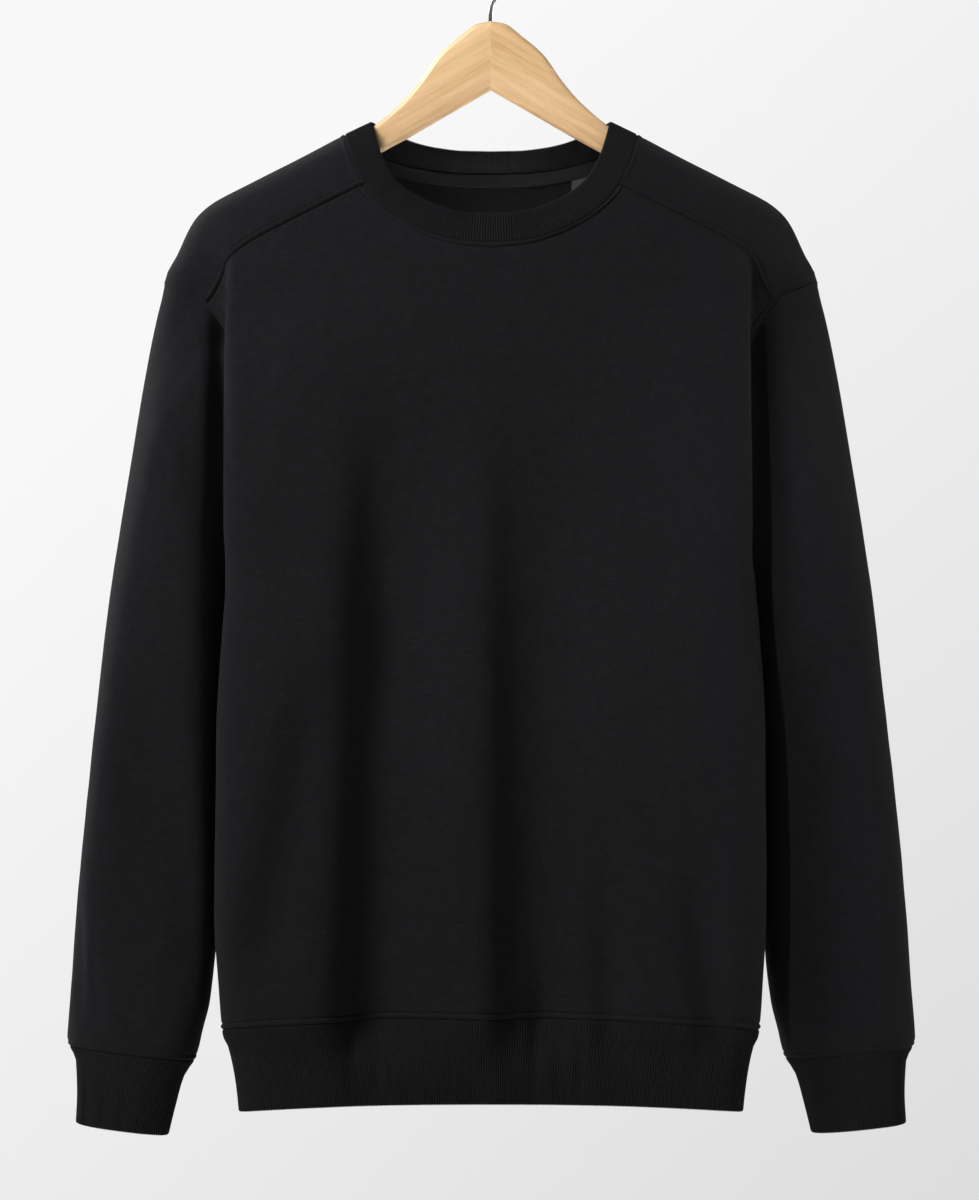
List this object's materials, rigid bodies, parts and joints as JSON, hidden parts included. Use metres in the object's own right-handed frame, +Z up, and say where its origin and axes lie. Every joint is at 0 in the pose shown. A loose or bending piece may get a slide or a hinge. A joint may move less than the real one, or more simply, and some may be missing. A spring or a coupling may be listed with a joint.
{
  "type": "crewneck sweatshirt on wooden hanger",
  "caption": "Black crewneck sweatshirt with rib neckband, cuffs and hem, forward shoulder seams and long sleeves, hanging on a flat wooden hanger with a wire hook.",
  "frame": {"origin": "top of the inside of the hook, where a rail carries the hanger", "axes": "+Z up, the garment's front faces -Y, +X to the right as seen from the front"},
  "size_m": [0.6294, 0.1705, 0.8897],
  "materials": {
    "cloth": "matte jersey face, brushed inside",
    "rib": "matte rib knit",
    "tape": "matte woven tape",
    "label": "smooth woven, bare",
    "wood": "satin lacquer",
    "steel": "polished wire"
  },
  "bodies": {
    "root": {"front": "cloth", "back": "cloth", "sleeve_left": "cloth", "sleeve_right": "cloth", "cuff_left": "rib", "cuff_right": "rib", "hem_rib": "rib", "neck_rib": "rib", "neck_tape": "tape", "size_label": "label", "hanger_left": "wood", "hanger_right": "wood", "hook": "steel"}
  },
  "joints": []
}
